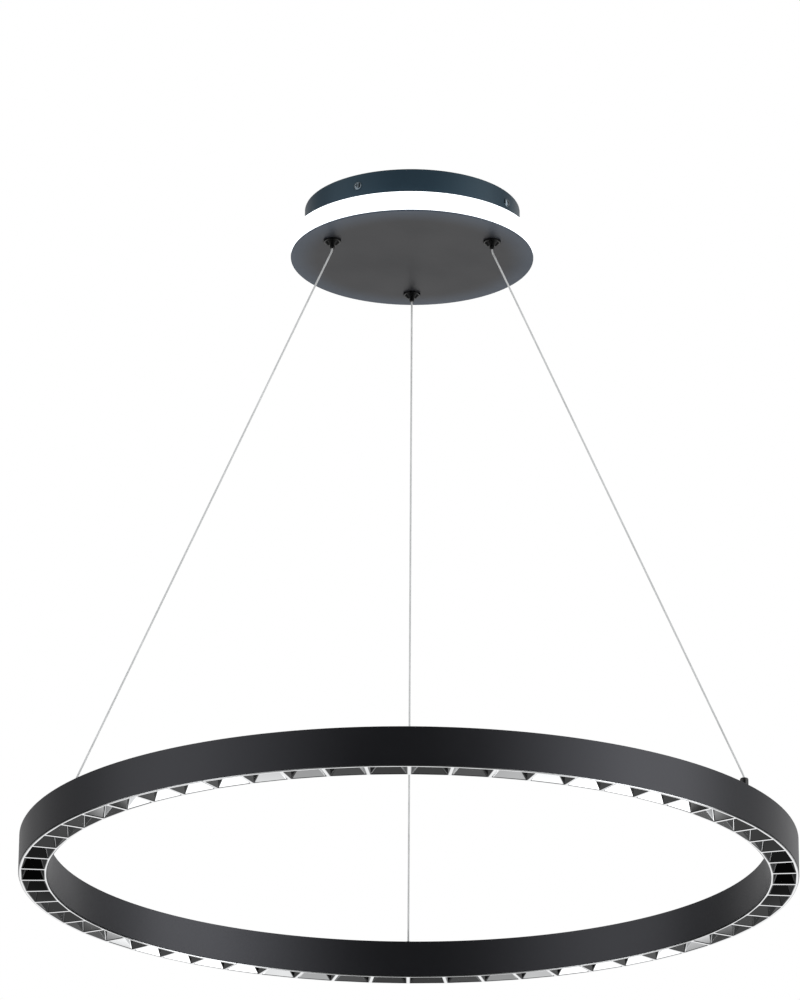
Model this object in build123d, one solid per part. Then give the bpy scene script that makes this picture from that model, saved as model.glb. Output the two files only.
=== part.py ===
from build123d import *
import math
import os

# Round ring pendant light. A ring of aluminium channel with a louvred LED face hangs on three
# thin wires from a round ceiling canopy with a glowing band.
# Millimetres, +Z up. The origin is the centre of the ceiling face. Azimuths are in degrees,
# anticlockwise from +X seen from above: back is 90, left 210 and right 330.

# Canopy, driving sizes
cup_radius = 115.5
cup_height = 31.5
cup_sheet = 1.2
cup_flange_inner = 99.6
halo_height = 21.0
diffuser_radius = 129.8
diffuser_wall = 3.0
diffuser_flange_inner = 111.0
carrier_radius = 108.5
carrier_wall = 1.5
plate_radius = 130.0
plate_thickness = 1.5

# Ceiling bracket
bracket_sheet = 2.0
hub_radius = 56.0
arm_width = 20.0
arm_azimuths = (60, 150, 240, 330)
tab_drop = 21.0
ceiling_hole_spacing = 80.0
slot_length = 12.0
slot_width = 5.2
supply_hole_radius = 15.0
side_screw_z = -13.0

# Ties between the cup's flange, the halo carrier and the plate
tie_azimuths = (30, 150, 270)
tie_circle = 102.5
driver_ear_x = 61.0

# Wires and grippers
sides = {"back": 90, "left": 210, "right": 330}
gripper_circle = 98.0
gripper_notch = 6.5
anchor_circle = 385.0
wire_radius = 1.0
plunger_travel = 2.0

# Ring
ring_radius = 400.0
ring_width = 30.0
ring_height = 40.0
ring_bottom = -748.0
wall = 1.5
tray_count = 6
cells_per_tray = 10
cell_rib = 3.6
cell_radial = 23.4
cell_window = 9.6
tray_sheet = 1.2
rim_inset = 1.3

# Levels that follow from the sizes above
cup_bottom = -cup_height
plate_top = cup_bottom - halo_height
plate_bottom = plate_top - plate_thickness
ring_top = ring_bottom + ring_height
ring_inner = ring_radius - ring_width
ring_middle = ring_radius - ring_width / 2
profile_bottom = ring_bottom + tray_sheet
web_top = ring_top - 16.0
web_bottom = web_top - 2.0
board_bottom = web_bottom - 1.0
window_z = board_bottom - 6.0
cover_top = ring_top - 1.0
cover_bottom = cover_top - 1.5
block_top = web_top + 8.0
cell_pitch = 360.0 / (tray_count * cells_per_tray)
nut_clearance = 0.05


def at(azimuth, radius=0.0, z=0.0):
    """Place a shape at an azimuth and a radius, its own +X pointing outwards."""
    return Rot(0, 0, azimuth) * Pos(radius, 0, z)


def disc(radius, low, high):
    """Upright cylinder between two levels."""
    return Pos(0, 0, (low + high) / 2) * Cylinder(radius, high - low)


def band(inner, outer, low, high):
    """Round band, open through the middle, between two levels."""
    return disc(outer, low, high) - disc(inner, low, high)


def block(length, width, low, high):
    """Upright box centred on the axis between two levels."""
    return Pos(0, 0, (low + high) / 2) * Box(length, width, high - low)


def turned(points):
    """Solid of revolution about Z from a closed outline of (radius, z) points."""
    return revolve(Plane.XZ * make_face(Polyline(*points, close=True)), Axis.Z)


def hexagon(across_flats, low, high, bore):
    """Hexagon nut between two levels."""
    prism = Pos(0, 0, low) * extrude(RegularPolygon(across_flats / math.sqrt(3), 6), high - low)
    return prism - disc(bore, low, high)


def screw(head_radius, head_low, head_high, shank_radius, shank_end):
    """Round-headed machine screw on the Z axis, with a cross recess in its head."""
    down = shank_end < head_low
    head = disc(head_radius, head_low, head_high)
    shank = disc(shank_radius, shank_end, head_low) if down else disc(shank_radius, head_high, shank_end)
    outer_face = head_high if down else head_low
    depth = 0.45 * (head_high - head_low)
    recess = Pos(0, 0, outer_face) * (
        Box(1.1 * head_radius, 0.24 * head_radius, 2 * depth)
        + Box(0.24 * head_radius, 1.1 * head_radius, 2 * depth)
    )
    return head + shank - recess


def save(node, *solids):
    """Write one node to its own STEP file: one solid, or a group of separate ones."""
    shape = solids[0] if len(solids) == 1 else Compound(children=list(solids))
    shape.label = node
    export_step(shape, f"parts/{node}.step")


def bend_radii(points, largest):
    """Radius at each corner of a route: as large as its runs allow, up to the largest given."""
    radii = []
    for before, corner, after in zip(points, points[1:], points[2:]):
        run_in = Vector(*corner) - Vector(*before)
        run_out = Vector(*after) - Vector(*corner)
        turn = math.radians(run_in.get_angle(run_out))
        shorter = min(run_in.length, run_out.length)
        radii.append(min(largest, 0.45 * shorter / math.tan(turn / 2)))
    return radii


def tube(node, points, radius, largest_bend):
    """Lead or wire of round section: straight runs joined by tangent arcs."""
    radii = bend_radii(points, largest_bend)
    path = FilletPolyline(*points, radius=radii)
    solid = sweep(Plane(origin=path @ 0, z_dir=path % 0) * Circle(radius), path=path)
    expected = math.pi * radius**2 * path.length
    print(f"{node}: length {path.length:.1f}, radii {[round(r, 1) for r in radii]}, "
          f"volume ratio {solid.volume / expected:.4f}")
    return solid


# ---------------------------------------------------------------- ceiling bracket
def ceiling_bracket():
    """Pressed steel cross: hub with supply hole and ceiling slots, four arms with tapped tabs."""
    tab_outer = math.sqrt((cup_radius - cup_sheet - 0.2) ** 2 - (arm_width / 2) ** 2)
    shape = disc(hub_radius, -bracket_sheet, 0)
    for azimuth in arm_azimuths:
        arm = Pos(tab_outer / 2, 0, -bracket_sheet / 2) * Box(tab_outer, arm_width, bracket_sheet)
        tab = Pos(tab_outer - bracket_sheet / 2, 0, -tab_drop / 2) * Box(bracket_sheet, arm_width, tab_drop)
        hole = Pos(tab_outer, 0, side_screw_z) * Rot(0, 90, 0) * Cylinder(1.95, 6)
        shape += at(azimuth) * (arm + tab - hole)
    shape -= disc(supply_hole_radius, -bracket_sheet, 0)
    for side in (-1, 1):
        slot = extrude(SlotOverall(slot_length, slot_width), -bracket_sheet)
        shape -= Pos(side * ceiling_hole_spacing / 2, 0, 0) * slot
    shape -= Pos(0, -40, 0) * disc(2.0, -bracket_sheet, 0)
    shape -= Pos(-20, 34, 0) * disc(1.6, -bracket_sheet, 0)
    shape -= Pos(20, 34, 0) * disc(1.6, -bracket_sheet, 0)
    return shape


# ---------------------------------------------------------------- canopy shells
def canopy_cup():
    """Deep-drawn steel cup, open towards the ceiling, with an inward flange at its lower edge."""
    inner = cup_radius - cup_sheet
    bend = 1.6
    shape = turned([
        (cup_radius, 0), (cup_radius, cup_bottom + bend), (cup_radius - 0.3 * bend, cup_bottom + 0.3 * bend),
        (cup_radius - bend, cup_bottom), (cup_flange_inner, cup_bottom),
        (cup_flange_inner, cup_bottom + cup_sheet), (inner, cup_bottom + cup_sheet), (inner, 0),
    ])
    for azimuth in arm_azimuths:
        shape -= at(azimuth, cup_radius, side_screw_z) * Rot(0, 90, 0) * Cylinder(2.2, 8)
    for azimuth in tie_azimuths:
        shape -= at(azimuth, tie_circle) * disc(1.7, cup_bottom, cup_bottom + cup_sheet)
    for azimuth in sides.values():
        shape -= at(azimuth, gripper_circle) * disc(gripper_notch, cup_bottom, cup_bottom + cup_sheet)
    return shape


def halo_carrier():
    """Rolled aluminium band that carries the halo strip and ties the cup to the plate."""
    shape = band(carrier_radius - carrier_wall, carrier_radius, plate_top, cup_bottom)
    tab_length = 9.5
    tab_middle = carrier_radius - carrier_wall / 2 - tab_length / 2
    for azimuth in tie_azimuths:
        for low, hole in ((cup_bottom - carrier_wall, 1.55), (plate_top, 2.2)):
            tab = Pos(tab_middle, 0, 0) * block(tab_length, 14, low, low + carrier_wall)
            shape += at(azimuth) * (tab - Pos(tie_circle, 0, 0) * disc(hole, low, low + carrier_wall))
    shape -= at(0, carrier_radius, (cup_bottom + plate_top) / 2) * Rot(0, 90, 0) * Cylinder(1.8, 8)
    return shape


def halo_diffuser():
    """Moulded opal ring: an upright wall, flush with the plate, and a top flange under the cup."""
    inner = diffuser_radius - diffuser_wall
    edge = 0.6
    return turned([
        (diffuser_radius, plate_top), (diffuser_radius, cup_bottom - edge),
        (diffuser_radius - edge, cup_bottom),
        (diffuser_flange_inner, cup_bottom), (diffuser_flange_inner, cup_bottom - diffuser_wall),
        (inner, cup_bottom - diffuser_wall), (inner, plate_top),
    ])


def bottom_plate():
    """Round steel plate with three holes for the wire grippers and broken edges."""
    shape = disc(plate_radius, plate_bottom, plate_top)
    shape = chamfer(shape.edges().filter_by(GeomType.CIRCLE), 0.3)
    for azimuth in sides.values():
        shape -= at(azimuth, gripper_circle) * disc(5.15, plate_bottom, plate_top)
    return shape


save("ceiling_bracket", ceiling_bracket())
save("canopy_cup", canopy_cup())
save("halo_carrier", halo_carrier())
save("bottom_plate", bottom_plate())
save("halo_diffuser", halo_diffuser())

# Pan-headed side screws: through the cup wall into the bracket's tabs.
side_screws = []
for azimuth in arm_azimuths:
    body = screw(4.6, 0, 2.4, 1.9, -8.0)
    side_screws.append(at(azimuth, cup_radius, side_screw_z) * Rot(0, 90, 0) * body)
save("side_screws", *side_screws)

# Tie screws hold the cup's flange to the carrier's upper tabs.
tie_screws = []
for azimuth in tie_azimuths:
    head_low = cup_bottom + cup_sheet
    tie_screws.append(at(azimuth, tie_circle) * screw(2.8, head_low, head_low + 2.0, 1.5, cup_bottom - 4.0))
save("cup_screws", *tie_screws)

# Weld studs on the plate take the carrier's lower tabs and the driver's ears.
stud_places = [at(azimuth, tie_circle) for azimuth in tie_azimuths]
stud_places += [Pos(-driver_ear_x, 0, 0), Pos(driver_ear_x, 0, 0)]
save("plate_studs", *[place * disc(2.0, plate_top, plate_top + 9.0) for place in stud_places])
nut_low = plate_top + carrier_wall
stud_nut = hexagon(7.0, nut_low, nut_low + 3.2, 2.0 + nut_clearance)
save("plate_nuts", *[place * stud_nut for place in stud_places])

# ---------------------------------------------------------------- halo light strip
halo_middle = (cup_bottom + plate_top) / 2
strip_thickness = 0.3
halo_led_count = 60
strip = band(carrier_radius, carrier_radius + strip_thickness, halo_middle - 4, halo_middle + 4)
save("halo_led_strip", strip)
halo_leds = []
for index in range(halo_led_count):
    place = at(index * 360 / halo_led_count + 3, carrier_radius + strip_thickness + 0.45, halo_middle)
    halo_leds.append(place * Box(0.8, 3.0, 2.8))
save("halo_leds", *halo_leds)

# ---------------------------------------------------------------- LED driver on the plate
driver_length = 110.0
driver_width = 58.0
driver_floor = 1.5
driver_top = plate_top + 22.0
driver_wall = 1.5
driver_exit_z = plate_top + 11.0
base_top = plate_top + driver_floor
board_post = 4.0
driver_screw_x = 50.0
driver_screw_y = 25.0


def driver_base():
    """Moulded tray with an ear at each end and four posts for the board."""
    shape = block(driver_length, driver_width, plate_top, base_top)
    for side in (-1, 1):
        shape += Pos(side * (driver_ear_x - 1.5), 0, 0) * block(13, 14, plate_top, base_top)
        shape -= Pos(side * driver_ear_x, 0, 0) * disc(2.2, plate_top, base_top)
        for across in (-1, 1):
            shape += Pos(side * 44, across * 20, 0) * disc(3.0, base_top, base_top + board_post)
            corner = Pos(side * driver_screw_x, across * driver_screw_y, 0)
            shape -= corner * disc(1.0, plate_top + 0.4, base_top)
    return shape


def driver_cover():
    """Moulded lid with lead holes in its ends and screw pillars in its corners."""
    shape = block(driver_length, driver_width, base_top, driver_top)
    shape -= block(driver_length - 2 * driver_wall, driver_width - 2 * driver_wall,
                   base_top, driver_top - driver_wall)
    for side in (-1, 1):
        for across in (-1, 1):
            corner = Pos(side * driver_screw_x, across * driver_screw_y, 0)
            shape += corner * block(7.0, 5.0, base_top, driver_top - driver_wall)
            shape -= corner * disc(1.3, base_top, driver_top)
    for x, y in ((-1, 4), (-1, -4), (1, 5), (1, -5)):
        hole = Rot(0, 90, 0) * Cylinder(1.6, 4)
        shape -= Pos(x * (driver_length / 2), y, driver_exit_z) * hole
    for index in range(7):
        shape -= Pos(-21 + 7 * index, 0, driver_top) * Box(2.0, 30, 2 * driver_wall)
    return shape


board_low = base_top + board_post
board_high = board_low + 1.6
save("driver_base", driver_base())
save("driver_cover", driver_cover())
save("driver_board", block(92, 44, board_low, board_high))
save("driver_transformer",
     Pos(8, 0, 0) * (block(24, 20, board_high, board_high + 11)
                     + block(14, 26, board_high + 1, board_high + 10)))
capacitors = []
for x, y, radius in ((-28, 8, 5.0), (-28, -8, 5.0), (32, 8, 4.0)):
    capacitors.append(Pos(x, y, 0) * disc(radius, board_high, board_high + 11))
save("driver_capacitors", *capacitors)
driver_screws = []
for x in (-driver_screw_x, driver_screw_x):
    for y in (-driver_screw_y, driver_screw_y):
        driver_screws.append(Pos(x, y, 0) * screw(2.4, driver_top, driver_top + 1.5, 0.95, plate_top + 0.6))
save("driver_screws", *driver_screws)

# ---------------------------------------------------------------- supply terminals and leads
terminal_y = 34.0
terminal_low = -bracket_sheet - 14.0
terminal_z = -9.0
poles = (-9.0, 0.0, 9.0)


def terminal_block():
    """Three-pole screw terminal with two ears, under the bracket's hub."""
    shape = Pos(0, terminal_y, 0) * block(28, 16, terminal_low, -bracket_sheet)
    shape += Pos(0, terminal_y, 0) * block(46, 8, -bracket_sheet - 4, -bracket_sheet)
    for pole in poles:
        shape -= Pos(pole, terminal_y, terminal_z) * Rot(90, 0, 0) * Cylinder(1.7, 16)
        shape -= Pos(pole, terminal_y, 0) * disc(2.2, terminal_low, terminal_z - 2.4)
    for side in (-1, 1):
        shape -= Pos(20 * side, terminal_y, 0) * disc(1.6, -bracket_sheet - 4, -bracket_sheet)
    return shape


save("terminal_block", terminal_block())
clamp_screw = screw(2.0, terminal_low + 0.2, terminal_low + 1.8, 1.3, terminal_z - 2.6)
ear_screw = screw(2.8, -bracket_sheet - 6, -bracket_sheet - 4, 1.5, -0.2)
terminal_screws = [Pos(pole, terminal_y, 0) * clamp_screw for pole in poles]
terminal_screws += [Pos(20 * side, terminal_y, 0) * ear_screw for side in (-1, 1)]
save("terminal_screws", *terminal_screws)

eyelet_low = -bracket_sheet - 0.8
save("earth_screw", Pos(0, -40, 0) * screw(3.8, eyelet_low - 2.4, eyelet_low, 1.95, -0.2))

lead_radius = 1.1
entry_y = terminal_y + 4.0
live_route = [(-9, entry_y, terminal_z), (-9, 54, -9.5), (-30, 64, -14), (-56, 54, -26),
              (-71, 28, -38), (-70, 5, driver_exit_z + 1), (-53.2, 4, driver_exit_z)]
neutral_route = [(0, entry_y, terminal_z), (0, 59, -10), (-24, 72, -15), (-60, 61, -28),
                 (-78, 28, -39), (-75, -3, driver_exit_z + 1), (-53.2, -4, driver_exit_z)]
earth_route = [(9, entry_y, terminal_z), (10, 50, -9.5), (26, 52, -11), (33, 22, -12),
               (31, -14, -10), (18, -34, -6), (4.4, -40, -bracket_sheet - 0.9)]
halo_route = [(53.2, -5, driver_exit_z), (70, -6, driver_exit_z), (86, -3, driver_exit_z + 1),
              (97, 0, halo_middle), (carrier_radius - 0.05, 0, halo_middle)]
right_gripper = at(sides["right"], gripper_circle).position
feed_route = [(53.2, 5, driver_exit_z), (70, 5, driver_exit_z + 2), (82, -10, driver_exit_z + 12),
              (86, -28, -18), (85.6, -40, -12.5),
              (right_gripper.X, right_gripper.Y, -15.0), (right_gripper.X, right_gripper.Y, -24.0)]
save("live_lead", tube("live_lead", live_route, lead_radius, 14))
save("neutral_lead", tube("neutral_lead", neutral_route, lead_radius, 14))
earth_eyelet = Pos(0, -40, 0) * band(2.1, 4.6, eyelet_low, -bracket_sheet)
save("earth_lead", tube("earth_lead", earth_route, 0.85, 14) + earth_eyelet)
save("halo_lead", tube("halo_lead", halo_route, lead_radius, 14))
save("feed_lead", tube("feed_lead", feed_route, wire_radius, 10))

# ---------------------------------------------------------------- wire grippers
flange_bottom = plate_bottom - 2.2
skirt_bottom = flange_bottom - 3.8
nipple_bottom = skirt_bottom - 3.5
sleeve_top = plate_top + 20.0
chamber_radius = 3.6
guide_radius = 2.55
cone_low = plate_top + 5.5
cone_high = cone_low + 4.2
ball_z = cone_low + 2.2
ball_circle = 2.06
collar_low = cone_high - 0.1
collar_high = collar_low + 1.0
cap_low = sleeve_top - 3.0


def gripper_body():
    """Turned brass body: flange and skirt under the plate, threaded sleeve with a ball cone above."""
    return turned([
        (guide_radius, skirt_bottom), (3.9, skirt_bottom), (7.6, flange_bottom), (9.0, flange_bottom),
        (9.3, flange_bottom + 0.3), (9.3, plate_bottom), (5.0, plate_bottom), (5.0, sleeve_top),
        (chamber_radius, sleeve_top), (chamber_radius, cone_high), (guide_radius, cone_low),
    ])


def gripper_plunger():
    """Hollow release plunger: nipple below, three ball windows and a spring collar above."""
    shape = turned([
        (1.3, nipple_bottom), (2.2, nipple_bottom), (2.5, nipple_bottom + 0.3), (2.5, collar_low),
        (3.4, collar_low), (3.4, collar_high), (1.3, collar_high),
    ])
    for azimuth in (0, 120, 240):
        shape -= at(azimuth, 2.0, ball_z) * Rot(0, 90, 0) * Cylinder(1.07, 2.4)
    return shape


def gripper_spring():
    """Coil spring between the plunger's collar and the cap."""
    coil = 0.25
    low = collar_high + coil + 0.03
    high = cap_low - coil - 0.03
    helix = Pos(0, 0, low) * Helix(pitch=(high - low) / 4, height=high - low, radius=2.75)
    return sweep(Plane(origin=helix @ 0, z_dir=helix % 0) * Circle(coil), path=helix, is_frenet=True)


for name, azimuth in sides.items():
    place = at(azimuth, gripper_circle)
    save(f"gripper_body_{name}", place * gripper_body())
    save(f"gripper_plunger_{name}", place * gripper_plunger())
    save(f"gripper_spring_{name}", place * gripper_spring())
    balls = [place * at(turn, ball_circle, ball_z) * Sphere(1.0) for turn in (0, 120, 240)]
    save(f"gripper_balls_{name}", *balls)

gripper_places = [at(azimuth, gripper_circle) for azimuth in sides.values()]
nut = hexagon(14.0, plate_top, plate_top + 3.5, 5.0 + nut_clearance)
save("gripper_nuts", *[place * nut for place in gripper_places])
cap = turned([(1.4, cap_low), (3.55, cap_low), (3.55, sleeve_top), (5.0, sleeve_top),
              (5.0, sleeve_top + 1.5), (1.4, sleeve_top + 1.5)])
save("gripper_caps", *[place * cap for place in gripper_places])

# ---------------------------------------------------------------- suspension wires
wire_bend_z = nipple_bottom - 2.0
wire_end = web_top + 0.4
wire_bend = 6.0
anchor_tops = {"back": ring_top + 3.5, "left": ring_top + 3.5, "right": ring_top + 14.0}
wire_tops = {"back": -26.0, "left": -26.0, "right": -24.0}


for name, azimuth in sides.items():
    route = [(gripper_circle, 0, wire_tops[name]), (gripper_circle, 0, wire_bend_z),
             (anchor_circle, 0, anchor_tops[name] + 1.5), (anchor_circle, 0, wire_end)]
    save(f"suspension_wire_{name}", at(azimuth) * tube(f"wire_{name}", route, wire_radius, wire_bend))

# ---------------------------------------------------------------- ring profile and top cover
ledge_low = cover_bottom - 0.8
snap_high = window_z - 4.0


def both_walls(depth, low, high, offset=0.0):
    """A pair of bands, one along the inside of each ring wall."""
    start = ring_inner + wall + offset
    finish = ring_radius - wall - offset
    return band(start, start + depth, low, high) + band(finish - depth, finish, low, high)


def ring_profile():
    """Rolled aluminium channel: two walls, a web, cover ledges above and snap ribs below."""
    edge = 0.4
    shape = turned([
        (ring_radius - wall, profile_bottom), (ring_radius, profile_bottom), (ring_radius, ring_top - edge),
        (ring_radius - edge, ring_top), (ring_radius - wall, ring_top),
    ])
    shape += turned([
        (ring_inner + wall, profile_bottom), (ring_inner, profile_bottom), (ring_inner, ring_top - edge),
        (ring_inner + edge, ring_top), (ring_inner + wall, ring_top),
    ])
    shape += band(ring_inner + wall, ring_radius - wall, web_bottom, web_top)
    shape += both_walls(1.8, ledge_low, cover_bottom)
    shape += both_walls(0.7, snap_high - 1.0, snap_high)
    for azimuth in board_screw_azimuths:
        shape -= at(azimuth, ring_middle) * disc(1.3, web_bottom, web_top)
    for azimuth in sides.values():
        for side in (-1, 1):
            shape -= at(azimuth) * Pos(anchor_circle, 7 * side, 0) * disc(1.5, web_bottom, web_top)
    shape -= at(sides["right"]) * Pos(anchor_circle, 30, 0) * disc(1.6, web_bottom, web_top)
    return shape


def ring_top_cover():
    """Snap-in strip that closes the wiring channel, with a hole over each anchor block."""
    gap = 0.2
    shape = band(ring_inner + wall + gap, ring_radius - wall - gap, cover_bottom, cover_top)
    shape += both_walls(1.0, cover_bottom - 3.0, cover_bottom, offset=2.0)
    shape += both_walls(0.9, cover_bottom - 2.0, ledge_low - 0.2, offset=1.1)
    for azimuth in sides.values():
        shape -= at(azimuth, anchor_circle) * disc(3.1, cover_bottom, cover_top)
    return shape


tray_azimuths = [60.0 * index for index in range(tray_count)]
board_screw_azimuths = [start + turn for start in tray_azimuths for turn in (12, 48)]
save("ring_profile", ring_profile())
save("ring_top_cover", ring_top_cover())


# ---------------------------------------------------------------- louvre trays
def cell_face(z, radial_half, along_half_at):
    """Four-sided outline of a cell at one level; along_half_at gives its half width at a radius."""
    inner = ring_middle - radial_half
    outer = ring_middle + radial_half
    points = [(inner, -along_half_at(inner)), (outer, -along_half_at(outer)),
              (outer, along_half_at(outer)), (inner, along_half_at(inner))]
    return Pos(0, 0, z) * make_face(Polyline(*points, close=True))


def cell_frustum(grow, low):
    """Pyramid-like cup of one cell from its mouth at the rim up to its square window."""
    half_pitch = math.radians(cell_pitch / 2)
    mouth = cell_face(low, cell_radial / 2 + grow, lambda r: r * math.tan(half_pitch) - cell_rib / 2 + grow)
    window = cell_face(window_z, cell_window / 2 + grow, lambda r: cell_window / 2 + grow)
    return loft([mouth, window])


def louvre_tray():
    """One sixth of the louvre: rim, ten thin-walled cups and snap hooks between them."""
    span = 360.0 / tray_count
    gap = 0.03
    rim = band(ring_inner + rim_inset, ring_radius - 0.4, ring_bottom, profile_bottom)
    reach = 2 * ring_radius
    sector = make_face(Polyline(
        (0, 0), *[(reach * math.cos(math.radians(a)), reach * math.sin(math.radians(a)))
                  for a in (gap, span / 2, span - gap)], close=True))
    shape = rim & (Pos(0, 0, ring_bottom - 1) * extrude(sector, 10))
    cups = cell_frustum(tray_sheet, profile_bottom - 0.1)
    hollow = cell_frustum(0.0, ring_bottom)
    for cell in range(cells_per_tray):
        shape += Rot(0, 0, (cell + 0.5) * cell_pitch) * cups
    for cell in range(cells_per_tray):
        shape -= Rot(0, 0, (cell + 0.5) * cell_pitch) * hollow
    for turn in (12, 30, 48):
        for side in (-1, 1):
            root = ring_middle + side * (ring_width / 2 - wall - 1.3)
            hook = Pos(root, 0, 0) * block(0.9, 3.0, profile_bottom - 0.1, snap_high + 1.5)
            barb = Pos(root + side * 0.75, 0, 0) * block(0.8, 3.0, snap_high + 0.1, snap_high + 1.2)
            shape += Rot(0, 0, turn) * (hook + barb)
    return shape


tray = louvre_tray()
for index, azimuth in enumerate(tray_azimuths, start=1):
    save(f"louvre_tray_{index}", Rot(0, 0, azimuth) * tray)

# ---------------------------------------------------------------- LED boards, LEDs and lenses
boards = []
for azimuth in tray_azimuths:
    sector = band(ring_middle - 9, ring_middle + 9, board_bottom, web_bottom)
    for turn, keep in ((azimuth + 0.3, 1), (azimuth + 59.7, -1)):
        half = Rot(0, 0, turn) * Pos(0, keep * 500, board_bottom) * Box(1000, 1000, 20)
        sector = sector & half
    for turn in (12, 48):
        sector -= at(azimuth + turn, ring_middle) * disc(1.4, board_bottom, web_bottom)
    boards.append(sector)
save("ring_led_boards", *boards)

cell_places = [at((index + 0.5) * cell_pitch, ring_middle) for index in range(tray_count * cells_per_tray)]
led = block(3.0, 3.0, board_bottom - 0.7, board_bottom)
save("ring_leds", *[place * led for place in cell_places])
lens = turned([
    (0, window_z + 0.2), (1.8, window_z + 0.5), (3.4, window_z + 1.6), (4.4, window_z + 3.4),
    (4.6, board_bottom - 1.0), (4.6, board_bottom), (2.4, board_bottom), (2.4, board_bottom - 1.2),
    (0, board_bottom - 1.2),
])
save("ring_lenses", *[place * lens for place in cell_places])
board_screw = screw(2.3, board_bottom - 1.6, board_bottom, 1.25, web_top - 0.2)
save("board_screws", *[at(azimuth, ring_middle) * board_screw for azimuth in board_screw_azimuths])

# ---------------------------------------------------------------- wire anchors in the ring
anchor_block = block(22, 20, web_top, block_top) - disc(3.05, web_top, block_top)
for side in (-1, 1):
    anchor_block -= Pos(0, 7 * side, 0) * disc(1.6, web_top, block_top)
anchor_places = {name: at(azimuth, anchor_circle) for name, azimuth in sides.items()}
save("anchor_blocks", *[place * anchor_block for place in anchor_places.values()])
anchor_screws = []
for place in anchor_places.values():
    for side in (-1, 1):
        fixing = screw(2.75, block_top, block_top + 2.0, 1.45, web_bottom + 0.2)
        anchor_screws.append(place * Pos(0, 7 * side, 0) * fixing)
save("anchor_screws", *anchor_screws)

stem_end = web_top + 4.0
low_anchor = turned([
    (1.25, stem_end), (3.0, stem_end), (3.0, cover_top), (4.2, cover_top), (4.2, anchor_tops["back"] - 1.2),
    (3.0, anchor_tops["back"]), (1.6, anchor_tops["back"]), (1.25, anchor_tops["back"] - 0.6),
])
save("wire_anchors", *[anchor_places[name] * low_anchor for name in ("back", "left")])
gland = turned([
    (1.25, stem_end), (3.0, stem_end), (3.0, cover_top), (4.25, cover_top),
    (4.25, anchor_tops["right"] - 0.8),
    (3.6, anchor_tops["right"]), (1.6, anchor_tops["right"]), (1.25, anchor_tops["right"] - 0.6),
])
save("feed_gland", anchor_places["right"] * gland)
ferrule = band(wire_radius + 0.05, 1.9, web_top + 0.4, stem_end - 0.05)
save("wire_ferrules", *[place * ferrule for place in anchor_places.values()])

feed_place = anchor_places["right"]
drop_route = [(0, 10, web_top + 3.0), (0, 30, web_top + 3.0), (0, 30, web_bottom + 0.02)]
save("ring_lead", feed_place * tube("ring_lead", drop_route, wire_radius, 6))
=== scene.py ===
import math
import bmesh
import bpy
from mathutils import Matrix, Vector


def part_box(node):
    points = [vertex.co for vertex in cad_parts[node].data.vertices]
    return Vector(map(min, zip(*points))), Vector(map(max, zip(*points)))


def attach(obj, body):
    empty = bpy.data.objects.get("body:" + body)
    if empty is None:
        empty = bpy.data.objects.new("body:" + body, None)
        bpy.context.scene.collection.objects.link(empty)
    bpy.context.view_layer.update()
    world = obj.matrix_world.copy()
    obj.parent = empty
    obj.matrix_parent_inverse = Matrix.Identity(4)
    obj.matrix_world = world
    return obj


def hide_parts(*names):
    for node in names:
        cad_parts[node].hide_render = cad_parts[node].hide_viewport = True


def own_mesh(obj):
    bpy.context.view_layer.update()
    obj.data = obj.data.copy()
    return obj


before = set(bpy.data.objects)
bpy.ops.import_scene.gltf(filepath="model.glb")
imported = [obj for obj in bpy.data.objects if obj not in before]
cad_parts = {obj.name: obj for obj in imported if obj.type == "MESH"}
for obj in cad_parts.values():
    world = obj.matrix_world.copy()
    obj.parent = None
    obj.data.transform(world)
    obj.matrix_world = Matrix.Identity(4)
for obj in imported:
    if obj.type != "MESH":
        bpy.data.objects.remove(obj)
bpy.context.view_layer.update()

# ------------------------------------------------------------------ ceiling bracket
# Cross of 2 mm steel, pressed, tapped and zinc plated, with a hub that takes the ceiling screws.
# Four bent tabs carry the canopy cup. Zinc gives a cool grey with soft cloudy patches.


def linear(code):
    """Linear colour with alpha from an sRGB hex value such as "#8a8d90"."""
    channels = [int(code[start:start + 2], 16) / 255 for start in (1, 3, 5)]
    return [c / 12.92 if c <= 0.04045 else ((c + 0.055) / 1.055) ** 2.4 for c in channels] + [1.0]


def add(tree, kind, settings=None, links=None):
    """Add one node. Settings name its properties or sockets, and links name sockets and their sources."""
    node = tree.nodes.new(kind)
    for name, value in (settings or {}).items():
        if isinstance(name, str) and hasattr(node, name):
            setattr(node, name, value)
        else:
            node.inputs[name].default_value = value
    for name, source in (links or {}).items():
        tree.links.new(source, node.inputs[name])
    return node


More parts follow.
